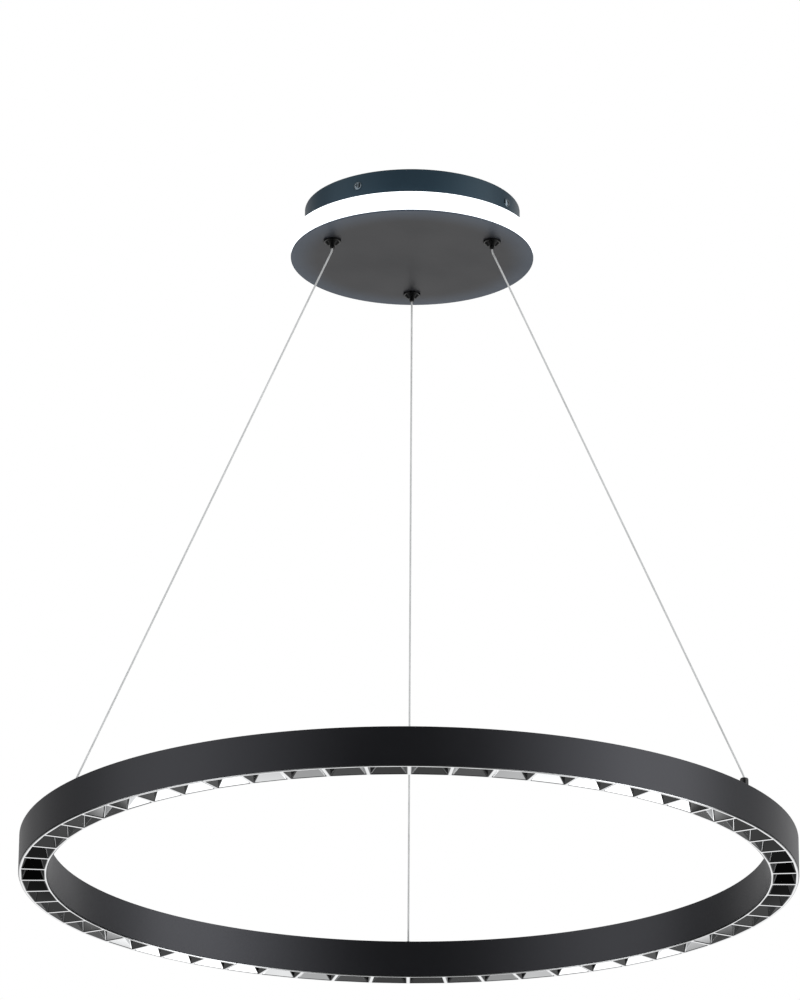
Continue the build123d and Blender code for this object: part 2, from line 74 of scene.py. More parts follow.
def surface(name, code, roughness, settings=None, grain=0.6, depth=0.01, spread=0.08, tint=0.1, patch=25.0):
    """A finish with fine grain in its relief and gloss and slow changes in its colour. Sizes in mm."""
    material = bpy.data.materials.new(name)
    material.use_nodes = True
    tree = material.node_tree
    shader = tree.nodes["Principled BSDF"]
    for socket, value in (settings or {}).items():
        shader.inputs[socket].default_value = value
    place = add(tree, "ShaderNodeTexCoord").outputs["Object"]
    fine = add(tree, "ShaderNodeTexNoise", {"Scale": 1000 / grain, "Detail": 3.0}, {"Vector": place})
    slow = add(tree, "ShaderNodeTexNoise", {"Scale": 1000 / patch, "Detail": 4.0}, {"Vector": place})
    base = linear(code)
    darker = [c * (1 - tint) for c in base[:3]] + [1.0]
    lighter = [min(1.0, c * (1 + tint)) for c in base[:3]] + [1.0]
    ramp = add(tree, "ShaderNodeValToRGB", links={"Fac": slow.outputs["Fac"]})
    ramp.color_ramp.elements[0].position, ramp.color_ramp.elements[0].color = 0.3, darker
    ramp.color_ramp.elements[1].position, ramp.color_ramp.elements[1].color = 0.7, lighter
    both = add(tree, "ShaderNodeMath", {"operation": "ADD"},
               {0: fine.outputs["Fac"], 1: slow.outputs["Fac"]})
    gloss = add(tree, "ShaderNodeMapRange",
                {"From Min": 0.6, "From Max": 1.4, "To Min": max(0.02, roughness - spread),
                 "To Max": min(1.0, roughness + spread)}, {"Value": both.outputs["Value"]})
    relief = add(tree, "ShaderNodeBump", {"Strength": 1.0, "Distance": depth / 1000},
                 {"Height": fine.outputs["Fac"]})
    tree.links.new(ramp.outputs["Color"], shader.inputs["Base Color"])
    tree.links.new(gloss.outputs["Result"], shader.inputs["Roughness"])
    tree.links.new(relief.outputs["Normal"], shader.inputs["Normal"])
    return material


def dress(material, *nodes):
    """Give CAD nodes whose shape is right their finish."""
    for node in nodes:
        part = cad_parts[node]
        part.data.materials.clear()
        part.data.materials.append(material)


metal = {"Metallic": 1.0}
zinc = surface("Zinc-plated steel, pressed", "#a2a6a8", 0.38, metal, grain=1.2, tint=0.16, patch=14)
dress(zinc, "ceiling_bracket", "plate_studs", "plate_nuts", "cup_screws", "driver_screws",
      "terminal_screws", "board_screws", "anchor_screws")
brass = surface("Nickel-plated brass, turned", "#c9c2b4", 0.22, metal, grain=0.4, depth=0.004)
dress(brass, "earth_screw", "gripper_nuts", "gripper_caps")

# ------------------------------------------------------------------ supply terminals and leads
# Three-pole nylon terminal screwed under the hub, with PVC-sleeved leads pushed into its poles.
# Nylon is milky and slightly waxy, PVC sleeve is smooth with a soft shine.

glow_depth = 0.002
nylon = surface("Nylon, moulded", "#e4e2d8", 0.45,
                {"Subsurface Weight": 0.1, "Subsurface Radius": (glow_depth, glow_depth, glow_depth)},
                grain=0.5)
dress(nylon, "terminal_block")
lead_colours = {
    "live_lead": "#5a3320", "neutral_lead": "#1f56a8", "earth_lead": "#6f9a2c",
    "halo_lead": "#dddcd8", "feed_lead": "#dddcd8", "ring_lead": "#dddcd8",
}
for lead, code in lead_colours.items():
    sleeve = surface("PVC sleeve, extruded, " + lead.split("_")[0], code, 0.36, grain=0.8, depth=0.006)
    dress(sleeve, lead)

# ------------------------------------------------------------------ canopy cup
# Deep-drawn steel cup, open to the ceiling and rounded at its lower edge, lacquered blue-black.
# Satin lacquer: a broad soft sheen with a very fine orange peel.


def outline(corners, steps=5, support=0.35):
    """Points round a closed outline of (radius, z, rounding) corners in mm, holding the flats."""
    points = []
    for before, corner, after in zip(corners[-1:] + corners[:-1], corners, corners[1:] + corners[:1]):
        here = Vector(corner[:2])
        if len(corner) < 3:
            points.append(here)
            continue
        back = (Vector(before[:2]) - here).normalized()
        ahead = (Vector(after[:2]) - here).normalized()
        half = back.angle(ahead) / 2
        reach = corner[2] / math.tan(half)
        centre = here + (back + ahead).normalized() * corner[2] / math.sin(half)
        first = here + back * reach - centre
        last = here + ahead * reach - centre
        points.append(here + back * (reach + support * corner[2]))
        for step in range(steps + 1):
            points.append(centre + first.slerp(last, step / steps).normalized() * corner[2])
        points.append(here + ahead * (reach + support * corner[2]))
    return points


def piece(name, mesh, material, body, slot, *nodes, sharp=35):
    """Put a finished mesh in the scene as a piece on a CAD body that stands for CAD nodes."""
    mesh.materials.clear()
    mesh.materials.append(material)
    mesh.shade_smooth()
    mesh.set_sharp_from_angle(angle=math.radians(sharp))
    made = bpy.data.objects.new(name, mesh)
    bpy.context.scene.collection.objects.link(made)
    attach(made, body)
    if nodes:
        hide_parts(*nodes)
    return made


def turned(name, points, segments=192, place=None, closed=True):
    """Mesh turned about Z from (radius, z) points in mm. An open outline starts and ends on the axis."""
    shape = bmesh.new()
    columns = []
    for column in range(segments):
        turn = 2 * math.pi * column / segments
        columns.append([shape.verts.new((r * math.cos(turn) / 1000, r * math.sin(turn) / 1000, z / 1000))
                        for r, z in points])
    rows = len(points) if closed else len(points) - 1
    for here, there in zip(columns, columns[1:] + columns[:1]):
        for row in range(rows):
            after = (row + 1) % len(points)
            shape.faces.new((here[row], there[row], there[after], here[after]))
    bmesh.ops.remove_doubles(shape, verts=shape.verts, dist=1e-6)
    bmesh.ops.recalc_face_normals(shape, faces=shape.faces)
    if place:
        shape.transform(place)
    mesh = bpy.data.meshes.new(name)
    shape.to_mesh(mesh)
    shape.free()
    return mesh


def at(azimuth, radius=0.0, z=0.0):
    """Place at an azimuth in degrees, a radius and a height in mm, own +X pointing outwards."""
    return Matrix.Rotation(math.radians(azimuth), 4, "Z") @ Matrix.Translation((radius / 1000, 0, z / 1000))


def level(node, corner):
    """Lowest (0) or highest (1) level of a CAD node, in mm."""
    return 1000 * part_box(node)[corner].z


def cut(mesh, cutter):
    """Mesh with the shape of a second mesh taken out of it."""
    body = bpy.data.objects.new("body", mesh)
    tool = bpy.data.objects.new("tool", cutter)
    for thing in (body, tool):
        bpy.context.scene.collection.objects.link(thing)
    modifier = body.modifiers.new("cut", "BOOLEAN")
    modifier.object = tool
    modifier.solver = "EXACT"
    made = bpy.data.meshes.new_from_object(body.evaluated_get(bpy.context.evaluated_depsgraph_get()))
    bpy.data.objects.remove(body)
    bpy.data.objects.remove(tool)
    return made


def drills(*bores, segments=40):
    """Mesh of rods to cut holes with, from (radius, low, high, places) bores in mm."""
    shape = bmesh.new()
    for radius, low, high, place in [(*bore[:3], place) for bore in bores for place in bore[3]]:
        rod = bmesh.ops.create_cone(shape, cap_ends=True, segments=segments, radius1=radius / 1000,
                                    radius2=radius / 1000, depth=(high - low) / 1000)["verts"]
        bmesh.ops.translate(shape, vec=(0, 0, (low + high) / 2000), verts=rod)
        bmesh.ops.transform(shape, matrix=place, verts=rod)
    mesh = bpy.data.meshes.new("drills")
    shape.to_mesh(mesh)
    shape.free()
    return mesh


cup_radius = 1000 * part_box("canopy_cup")[1].x
cup_bottom = level("canopy_cup", 0)
cup_sheet = 1.2
cup_edge = 1.5
cup_inner = cup_radius - cup_sheet
flange_inner = 99.6
flange_top = cup_bottom + cup_sheet
cup_lacquer = surface("Black lacquer, sprayed on steel", "#26353f", 0.36,
                      {"Specular IOR Level": 0.22, "Specular Tint": linear("#bfdcea")},
                      grain=0.7, depth=0.004, spread=0.04, tint=0.05, patch=60)
cup_outline = outline([
    (cup_radius, 0), (cup_radius, cup_bottom, cup_edge), (flange_inner, cup_bottom),
    (flange_inner, flange_top), (cup_inner, flange_top), (cup_inner, 0),
])
sides = {"back": 90, "left": 210, "right": 330}
gripper_circle = 98.0
side_screw_level = -13
side_screw_hole = 2.2
cup_screw_circle = 102.5
cup_screw_hole = 1.7
gripper_notch = 6.5
outwards = Matrix.Rotation(math.radians(90), 4, "Y")
side_screws_at = [at(azimuth, cup_radius, side_screw_level) @ outwards for azimuth in (60, 150, 240, 330)]
cup_screws_at = [at(azimuth, cup_screw_circle) for azimuth in (30, 150, 270)]
grippers_at = {side: at(azimuth, gripper_circle) for side, azimuth in sides.items()}
cup_holes = drills(
    (side_screw_hole, -4, 4, side_screws_at),
    (cup_screw_hole, cup_bottom - 1, cup_bottom + 2, cup_screws_at),
    (gripper_notch, cup_bottom - 1, cup_bottom + 2, grippers_at.values()),
)
cup = cut(turned("canopy_cup_shell", cup_outline), cup_holes)
piece("canopy_cup_shell", cup, cup_lacquer, "canopy", "black_lacquer", "canopy_cup")

# ------------------------------------------------------------------ side screws
# Four M4 pan-head screws hold the cup to the bracket's tabs. Black nickel on steel with a cross
# recess: a dark head with a bright spot on its crown.

screw_black = surface("Black nickel on steel", "#69737a", 0.24, metal, grain=0.4, depth=0.006)


def circle_of_copies():
    """Geometry nodes: copies of a piece turned about Z from a start angle, in equal steps."""
    tree = bpy.data.node_groups.new("circle of copies", "GeometryNodeTree")
    for label, kind in (("Piece", "Object"), ("Count", "Int"), ("Start", "Float"), ("Step", "Float"),
                        ("Material", "Material")):
        tree.interface.new_socket(label, in_out="INPUT", socket_type="NodeSocket" + kind)
    tree.interface.new_socket("Copies", in_out="OUTPUT", socket_type="NodeSocketGeometry")
    given = add(tree, "NodeGroupInput").outputs
    points = add(tree, "GeometryNodeMeshLine", {"Offset": (0, 0, 0)}, {"Count": given["Count"]})
    index = add(tree, "GeometryNodeInputIndex")
    turn = add(tree, "ShaderNodeMath", {"operation": "MULTIPLY_ADD"},
               {0: index.outputs["Index"], 1: given["Step"], 2: given["Start"]})
    about_z = add(tree, "ShaderNodeCombineXYZ", links={"Z": turn.outputs["Value"]})
    source = add(tree, "GeometryNodeObjectInfo", links={"Object": given["Piece"]})
    copies = add(tree, "GeometryNodeInstanceOnPoints", links={
        "Points": points.outputs["Mesh"], "Instance": source.outputs["Geometry"],
        "Rotation": about_z.outputs["Vector"]})
    real = add(tree, "GeometryNodeRealizeInstances", links={"Geometry": copies.outputs["Instances"]})
    weld = 0.000002
    joined = add(tree, "GeometryNodeMergeByDistance", {"Distance": weld},
                 {"Geometry": real.outputs["Geometry"]})
    dressed = add(tree, "GeometryNodeSetMaterial",
                  links={"Geometry": joined.outputs["Geometry"], "Material": given["Material"]})
    add(tree, "NodeGroupOutput", links={"Copies": dressed.outputs["Geometry"]})
    return tree


copies_tree = circle_of_copies()


def copied(name, mesh, count, start, step, material):
    """Plain mesh of equal copies of a mesh about Z. Angles in degrees."""
    source = bpy.data.objects.new(name + "_one", mesh)
    carrier = bpy.data.objects.new(name + "_carrier", bpy.data.meshes.new(name + "_carrier"))
    for thing in (source, carrier):
        bpy.context.scene.collection.objects.link(thing)
    modifier = carrier.modifiers.new("copies", "NODES")
    modifier.node_group = copies_tree
    given = {"Piece": source, "Count": count, "Start": math.radians(start), "Step": math.radians(step),
             "Material": material}
    for item in copies_tree.interface.items_tree:
        if item.name in given:
            modifier[item.identifier] = given[item.name]
    evaluated = carrier.evaluated_get(bpy.context.evaluated_depsgraph_get())
    made = bpy.data.meshes.new_from_object(evaluated)
    made.name = name
    carrier.modifiers.remove(modifier)
    bpy.data.objects.remove(carrier)
    bpy.data.objects.remove(source)
    return made


def cross(width, arm, low, high):
    """Cross-shaped prism for a driver recess, tapering downwards, sizes in mm."""
    shape = bmesh.new()
    half, reach = width / 2, arm / 2
    quarter = [(half, half), (half, reach), (-half, reach)]
    rings = []
    for z, size in ((low, 0.6), (high, 1.0)):
        ring = [Matrix.Rotation(math.radians(90 * turn), 2) @ Vector(corner) * size
                for turn in range(4) for corner in quarter]
        rings.append([shape.verts.new((x / 1000, y / 1000, z / 1000)) for x, y in ring])
    for index in range(12):
        after = (index + 1) % 12
        shape.faces.new((rings[0][index], rings[0][after], rings[1][after], rings[1][index]))
    shape.faces.new(rings[0])
    shape.faces.new(rings[1])
    bmesh.ops.recalc_face_normals(shape, faces=shape.faces)
    mesh = bpy.data.meshes.new("cross")
    shape.to_mesh(mesh)
    shape.free()
    return mesh


head_radius = 4.6
head_height = 2.4
shank_radius = 1.9
shank_end = -8.0
chamfer = 0.4
recess_width, recess_arm, recess_floor, recess_mouth = 1.1, 5.2, 1.1, 3.0
pan_outline = [
    (0, head_height), (1.6, head_height - 0.08), (3.0, head_height - 0.38), (4.0, head_height - 0.95),
    (4.5, 0.8), (head_radius, 0.3), (head_radius, 0), (shank_radius, 0),
    (shank_radius, shank_end + chamfer), (shank_radius - chamfer, shank_end), (0, shank_end),
]
pan_screw = cut(turned("pan_screw", pan_outline, segments=40, closed=False),
                cross(recess_width, recess_arm, recess_floor, recess_mouth))
pan_screw.transform(side_screws_at[0])
screws = copied("side_screw_heads", pan_screw, 4, 0, 90, screw_black)
piece("side_screw_heads", screws, screw_black, "canopy", "screw_black", "side_screws", sharp=28)

# ------------------------------------------------------------------ halo light of the canopy
# Rolled aluminium band with a flexible LED strip round it, inside a wide moulded ring of opal acrylic.
# The lit acrylic glows evenly and white. The strip and its LEDs don't show through it.

aluminium = surface("Mill-finish aluminium", "#b9bcbf", 0.36, metal, grain=0.5, tint=0.06)
dress(aluminium, "halo_carrier", "anchor_blocks", "wire_ferrules")
strip_white = surface("White solder mask on a flexible strip", "#e9ebe8", 0.4, grain=0.5)
dress(strip_white, "halo_led_strip")


def rounded_box(name, length, width, low, high, rounding):
    """Box centred on the axis between two levels with rounded edges, sizes in mm."""
    shape = bmesh.new()
    corners = bmesh.ops.create_cube(shape, size=1)["verts"]
    bmesh.ops.scale(shape, vec=(length / 1000, width / 1000, (high - low) / 1000), verts=corners)
    bmesh.ops.translate(shape, vec=(0, 0, (low + high) / 2000), verts=corners)
    bmesh.ops.bevel(shape, geom=shape.edges[:], offset=rounding / 1000, segments=2, profile=0.5,
                    affect="EDGES")
    mesh = bpy.data.meshes.new(name)
    shape.to_mesh(mesh)
    shape.free()
    return mesh


phosphor = surface("Phosphor in silicone, moulded", "#e8c95a", 0.3, grain=0.3, depth=0.004)
halo_middle = (level("halo_leds", 0) + level("halo_leds", 1)) / 2
led_count = 60
led_step = 6
first_led = 3
led_rounding = 0.12
strip_radius = 1000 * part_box("halo_led_strip")[1].x
halo_led = rounded_box("halo_led", 2.8, 3.0, 0, 0.8, led_rounding)
halo_led.transform(at(first_led, strip_radius, halo_middle) @ outwards)
halo_leds = copied("halo_led_chips", halo_led, led_count, 0, led_step, phosphor)
piece("halo_led_chips", halo_leds, phosphor, "canopy", "led_phosphor", "halo_leds")

cool_white = (0.93, 0.97, 1.0, 1.0)
opal = surface("Opal acrylic, moulded, lit from inside", "#f4f6f8", 0.3,
               {"Emission Color": cool_white, "Emission Strength": 1.25}, grain=2.0, depth=0.002, tint=0.01)
diffuser_radius = 1000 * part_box("halo_diffuser")[1].x
plate_top = level("halo_diffuser", 0)
diffuser_wall = 3.0
diffuser_inner = diffuser_radius - diffuser_wall
diffuser_top_inner = 111
diffuser_top_low = cup_bottom - diffuser_wall
diffuser_outline = outline([
    (diffuser_radius, plate_top, 0.25), (diffuser_radius, cup_bottom, 0.8),
    (diffuser_top_inner, cup_bottom, 0.3), (diffuser_top_inner, diffuser_top_low, 0.3),
    (diffuser_inner, diffuser_top_low, 0.8), (diffuser_inner, plate_top, 0.25),
], steps=3)
piece("halo_diffuser_tube", turned("halo_diffuser_tube", diffuser_outline), opal, "canopy", "opal_acrylic",
      "halo_diffuser")

# ------------------------------------------------------------------ LED driver
# White moulded housing, screwed shut and nutted to the plate's studs, with a board inside.
# Fine spark texture on the plastic, solder mask on the board, yellow tape round the transformer.

driver_white = surface("ABS, moulded with a spark texture", "#e2e3e1", 0.5, grain=0.9, depth=0.02)
dress(driver_white, "driver_base", "driver_cover")
mask_green = surface("Solder mask on glass-filled epoxy", "#1d5a3a", 0.35, grain=1.1, tint=0.15, patch=9)
dress(mask_green, "driver_board")
tape = surface("Polyester tape over copper turns", "#d9b13c", 0.32, grain=2.5, depth=0.03, tint=0.12,
               patch=8)
dress(tape, "driver_transformer")
shrunk = surface("Shrunk PVC sleeve on aluminium", "#20242c", 0.28, grain=0.6, tint=0.15, patch=6)
dress(shrunk, "driver_capacitors")

# ------------------------------------------------------------------ bottom plate
# Laser-cut steel plate with broken edges and three holes for the wire grippers.
# Sprayed in a warmer grey-black than the cup, and dull, with a painted sheen towards the rim: a lighter,
# cooler blue-grey that stands in for light reflected off the plate's edge.

plate_lacquer = surface("Black lacquer, sprayed on steel plate", "#2d2d30", 0.42,
                        {"Specular IOR Level": 0.3}, grain=0.7, depth=0.004, spread=0.05, tint=0.04,
                        patch=70)
coat = plate_lacquer.node_tree
shader = coat.nodes["Principled BSDF"]
sprayed = shader.inputs["Base Color"].links[0].from_socket
# Painted sheen: between these radii the colour turns towards a lighter blue-grey, standing in for reflected
# light near the rim.
sheen_start, sheen_end = 0.098, 0.132
from_axis = add(coat, "ShaderNodeVectorMath", {"operation": "MULTIPLY", 1: (1, 1, 0)},
                {0: add(coat, "ShaderNodeTexCoord").outputs["Object"]})
radius = add(coat, "ShaderNodeVectorMath", {"operation": "LENGTH"}, {0: from_axis.outputs[0]})
rim_sheen_share = add(coat, "ShaderNodeMapRange",
               {"From Min": sheen_start, "From Max": sheen_end, "To Min": 0.0, "To Max": 1.0,
                "interpolation_type": "SMOOTHSTEP"}, {"Value": radius.outputs["Value"]})
# Mix of the sprayed colour with the painted sheen's lighter blue-grey (#434d5a) towards the rim.
painted_rim_sheen = add(coat, "ShaderNodeMix", {"data_type": "RGBA", 7: linear("#434d5a")},
             {"Factor": rim_sheen_share.outputs["Result"], 6: sprayed})
coat.links.new(painted_rim_sheen.outputs[2], shader.inputs["Base Color"])
plate_radius = 1000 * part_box("bottom_plate")[1].x
plate_bottom = level("bottom_plate", 0)
broken_edge = 0.35
gripper_hole = 5.15
plate_outline = outline([
    (0, plate_bottom), (plate_radius, plate_bottom, broken_edge), (plate_radius, plate_top, broken_edge),
    (0, plate_top),
], steps=3)
holes = drills((gripper_hole, plate_bottom - 1, plate_top + 1, grippers_at.values()))
plate = cut(turned("bottom_plate_disc", plate_outline, closed=False), holes)
piece("bottom_plate_disc", plate, plate_lacquer, "canopy", "plate_lacquer", "bottom_plate")

# ------------------------------------------------------------------ wire grippers
# Turned brass bodies in gloss black, flanged under the plate. A release nipple slides inside
# against a spring, and three steel balls hold the wire. Small sharp highlights on the turned edges.

gripper_black = surface("Black electroplate on turned brass", "#0a0a0b", 0.3,
                        {"Specular IOR Level": 0.3}, grain=0.4, depth=0.003, spread=0.05)
steel = surface("Bright steel", "#b4b6b8", 0.24, metal, grain=0.3, depth=0.003)
flange_bottom = plate_bottom - 2.2
skirt_bottom = flange_bottom - 3.8
nipple_bottom = skirt_bottom - 3.5
sleeve_top = plate_top + 20.0
cone_low = plate_top + 5.5
cone_high = cone_low + 4.2
collar_low = cone_high - 0.1
collar_high = collar_low + 1.0
spring_high = sleeve_top - 3.0
flange_radius = 9.3
sleeve_radius = 5.0
sleeve_bore = 3.6
nipple_bore = 2.55
nipple_radius = 2.5
collar_radius = 3.4
wire_way = 1.3
body_outline = outline([
    (nipple_bore, skirt_bottom), (3.9, skirt_bottom, 0.3), (7.6, flange_bottom, 0.5),
    (flange_radius, flange_bottom, 0.45), (flange_radius, plate_bottom, 0.1),
    (sleeve_radius, plate_bottom), (sleeve_radius, sleeve_top), (sleeve_bore, sleeve_top),
    (sleeve_bore, cone_high), (nipple_bore, cone_low),
], steps=4)
plunger_outline = outline([
    (wire_way, nipple_bottom, 0.2), (2.1, nipple_bottom, 0.35), (nipple_radius, nipple_bottom + 1.1, 0.3),
    (nipple_radius, collar_low), (collar_radius, collar_low, 0.1), (collar_radius, collar_high, 0.1),
    (wire_way, collar_high),
], steps=3)


def tube_along(name, points, radius, order=2, sides_round=5):
    """Round tube with closed ends along control points in mm."""
    curve = bpy.data.curves.new(name, "CURVE")
    curve.dimensions = "3D"
    spline = curve.splines.new("NURBS")
    spline.points.add(len(points) - 1)
    for given, point in zip(spline.points, points):
        given.co = (*(c / 1000 for c in point), 1.0)
    spline.use_endpoint_u = True
    spline.order_u = order
    spline.resolution_u = 8
    curve.bevel_depth = radius / 1000
    curve.bevel_resolution = sides_round
    curve.use_fill_caps = True
    line = bpy.data.objects.new(name, curve)
    bpy.context.scene.collection.objects.link(line)
    made = bpy.data.meshes.new_from_object(line.evaluated_get(bpy.context.evaluated_depsgraph_get()))
    bpy.data.objects.remove(line)
    made.name = name
    return made


coil_turns = 4
coil_steps = 14
coil_radius = 2.8
coil_wire = 0.25
coil_gap = 0.03
coil_low = collar_high + coil_wire + coil_gap
coil_rise = spring_high - coil_wire - coil_gap - coil_low
coil_points = []
for step in range(coil_turns * coil_steps + 1):
    turn = 2 * math.pi * step / coil_steps
    rise = coil_low + coil_rise * step / (coil_turns * coil_steps)
    coil_points.append((coil_radius * math.cos(turn), coil_radius * math.sin(turn), rise))
for side, place in grippers_at.items():
    name = f"gripper_{side}_turned"
    piece(name, turned(name, body_outline, 72, place), gripper_black, "canopy", "gripper_black",
          f"gripper_body_{side}", sharp=25)
    name = f"release_nipple_{side}"
    piece(name, turned(name, plunger_outline, 48, place), gripper_black, f"plunger_{side}", "gripper_black",
          f"gripper_plunger_{side}", sharp=25)
    coil = tube_along(f"grip_spring_{side}", coil_points, coil_wire, order=3, sides_round=2)
    coil.transform(place)
    spring = piece(f"grip_spring_{side}", coil, steel, "canopy", "spring_steel", f"gripper_spring_{side}",
                   sharp=60)
    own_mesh(spring)
    dress(steel, f"gripper_balls_{side}")

# ------------------------------------------------------------------ ring profile and top cover
# Aluminium channel, rolled to a ring: two walls and a web, finished in fine satin black.
# A snap-in strip closes the wiring channel above. The walls give a long soft sheen towards the ends.

ring_finish = surface("Black powder coat on rolled aluminium", "#141416", 0.36,
                      {"Specular IOR Level": 0.5, "Specular Tint": linear("#f2f4ff")},
                      grain=0.6, depth=0.006, spread=0.05, tint=0.08, patch=90)
wall = 1.5
ring_width = 30.0
ring_outer = 1000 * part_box("ring_profile")[1].x
ring_inner = ring_outer - ring_width
ring_middle = ring_outer - ring_width / 2
profile_bottom = level("ring_profile", 0)
ring_top = level("ring_profile", 1)
web_top = ring_top - 16.0
web_bottom = web_top - 2.0
cover_sheet = 1.5
cover_bottom = level("ring_top_cover", 1) - cover_sheet
ledge_low = cover_bottom - 0.8
ledge_reach = 1.8
snap_low = level("ring_lenses", 0) - 5.2
snap_high = snap_low + 1.0
snap_reach = 0.7


def side_of_profile(face, inward):
    """Section of one wall, from its web joint over the top to the joint below, with ledge and snap rib."""
    inside = face + inward * wall
    ledge = inside + inward * ledge_reach
    snap = inside + inward * snap_reach
    return [
        (inside, web_top, 0.3), (inside, ledge_low), (ledge, ledge_low), (ledge, cover_bottom),
        (inside, cover_bottom), (inside, ring_top, 0.2), (face, ring_top, 0.5), (face, profile_bottom, 0.3),
        (inside, profile_bottom), (inside, snap_low), (snap, snap_low), (snap, snap_high),
        (inside, snap_high), (inside, web_bottom, 0.3),
    ]


profile_outline = outline(side_of_profile(ring_outer, -1) + side_of_profile(ring_inner, 1)[::-1], steps=4)
profile = turned("ring_channel", profile_outline, 480)
board_screws_at = [at(start + turn, ring_middle) for start in range(0, 360, 60) for turn in (12, 48)]
anchor_places = {side: at(azimuth, ring_middle) for side, azimuth in sides.items()}
anchor_screws_at = [place @ Matrix.Translation((0, along / 1000, 0)) for place in anchor_places.values()
                    for along in (-7, 7)]
lead_at = [anchor_places["right"] @ Matrix.Translation((0, 0.030, 0))]
web_hole = 1.4
web_holes = drills((web_hole, web_bottom - 1, web_top + 1, board_screws_at + anchor_screws_at + lead_at),
                   segments=20)
profile = cut(profile, web_holes)
piece("ring_channel", profile, ring_finish, "ring", "ring_black", "ring_profile", sharp=30)
strip_black = surface("Black ABS strip, extruded", "#1a1a1b", 0.42, grain=0.8, depth=0.01, tint=0.06,
                      patch=60)
dress(strip_black, "ring_top_cover")

# ------------------------------------------------------------------ ring LED boards, LEDs and lenses
# Six white boards, screwed under the web, carry one LED and one clear moulded lens for each cell.
# White solder mask, yellow phosphor, and polycarbonate with a clear deep gloss.

board_white = surface("White solder mask on aluminium board", "#eceeec", 0.34, grain=0.6, tint=0.03)
dress(board_white, "ring_led_boards")
board_sheet = 1.0
board_bottom = web_bottom - board_sheet
window_z = board_bottom - 6.0
led_width = 3.0
led_height = 0.7
ring_led = rounded_box("ring_led", led_width, led_width, board_bottom - led_height, board_bottom,
                       led_rounding)
ring_led.transform(at(first_led, ring_middle))
ring_leds = copied("ring_led_chips", ring_led, led_count, 0, led_step, phosphor)
piece("ring_led_chips", ring_leds, phosphor, "ring", "led_phosphor", "ring_leds")
clear = surface("Polycarbonate, moulded clear", "#f2f5f6", 0.05,
                {"Transmission Weight": 0.85, "IOR": 1.585}, grain=3.0, depth=0.001, spread=0.02, tint=0.01)
lens_outline = outline([
    (0, window_z + 0.2), (1.8, window_z + 0.5), (3.4, window_z + 1.6), (4.4, window_z + 3.4, 0.8),
    (4.6, board_bottom - 1.0), (4.6, board_bottom), (2.4, board_bottom), (2.4, board_bottom - 1.2),
    (0, board_bottom - 1.2),
], steps=2)
lens = turned("ring_lens", lens_outline, 24, at(first_led, ring_middle), closed=False)
lenses = copied("ring_lens_row", lens, led_count, 0, led_step, clear)
piece("ring_lens_row", lenses, clear, "ring", "lens_clear", "ring_lenses", sharp=50)

# ------------------------------------------------------------------ louvre trays
# Six vacuum-metallised plastic trays of ten four-sided cups, snapped up into the channel.
# Bright mirror facets, a softly rounded silver rim, and thin ribs between the cups.

reflector = surface("Vacuum-metallised polycarbonate", "#ecedee", 0.06, metal,
                    grain=1.5, depth=0.0005, spread=0.02, tint=0.03, patch=30)
rim_bottom = level("louvre_tray_1", 0)
half_cell = math.radians(2.997)
cell_step = 5.994
tray_sheet = 1.2
rim_inner = ring_inner + 1.3
rim_outer = ring_outer - 0.4
rim_round = 0.5


def cup_loop(z, inner, outer, half_width, rounding):
    """32 points round a four-sided outline with rounded corners. half_width works from a radius."""
    corners = [Vector((inner, -half_width(inner), z)), Vector((outer, -half_width(outer), z)),
               Vector((outer, half_width(outer), z)), Vector((inner, half_width(inner), z))]
    points = []
    for index, corner in enumerate(corners):
        after = corners[(index + 1) % 4]
        before = corners[index - 1]
        start = corner + (before - corner).normalized() * rounding
        leave = corner + (after - corner).normalized() * rounding
        arrive = after + (corner - after).normalized() * rounding
        points += [start * (1 - t) ** 2 + corner * 2 * t * (1 - t) + leave * t * t
                   for t in (0.5, 0.75, 1.0)]
        points += [leave.lerp(arrive, share) for share in (0.03, 0.5, 0.97, 1.0)]
        far = after + (corners[(index + 2) % 4] - after).normalized() * rounding
        points.append(arrive * 0.75 ** 2 + after * 2 * 0.25 * 0.75 + far * 0.25 ** 2)
    return points


def rim_loop():
    """32 points round one cell's share of the flat rim: along two radii and two arcs."""
    low, high = rim_inner + rim_round, rim_outer - rim_round
    polar = [(low + (high - low) * step / 8, -1) for step in range(8)]
    polar += [(high, -1 + step / 4) for step in range(8)]
    polar += [(high - (high - low) * step / 8, 1) for step in range(8)]
    polar += [(low, 1 - step / 4) for step in range(8)]
    return [Vector((r * math.cos(share * half_cell), r * math.sin(share * half_cell), rim_bottom))
            for r, share in polar]


